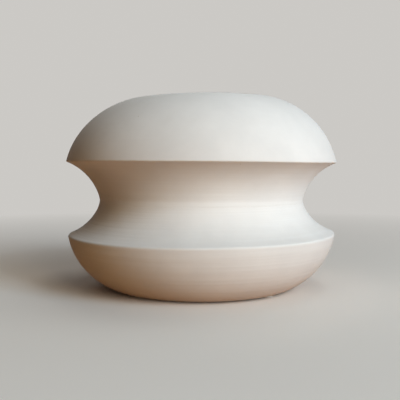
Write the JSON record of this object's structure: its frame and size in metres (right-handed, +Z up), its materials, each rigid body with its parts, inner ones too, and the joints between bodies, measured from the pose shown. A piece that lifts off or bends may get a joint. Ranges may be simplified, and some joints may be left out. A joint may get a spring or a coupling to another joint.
{
  "type": "pillow vase",
  "caption": "Wide round ceramic vase: a domed shell with an open flat mouth over a bowl, luted at a narrow concave waist between two sharp rims, on soft foot pads.",
  "frame": {"origin": "centre of the foot, on the surface that the vase stands on", "axes": "+Z up along the axis that the vase was turned about, out of its mouth; +X and +Y level"},
  "size_m": [0.2396, 0.2396, 0.1672],
  "materials": {
    "matte_ceramic": "white unglazed clay, matte, with fine turning lines",
    "fired_slip": "fired slip, matte, a little darker than the clay",
    "felt": "pale grey pressed felt"
  },
  "bodies": {
    "root": {"upper_shell": "matte_ceramic", "lower_shell": "matte_ceramic", "slip_joint": "fired_slip", "foot_pad_1": "felt", "foot_pad_2": "felt", "foot_pad_3": "felt", "foot_pad_4": "felt"}
  },
  "joints": []
}
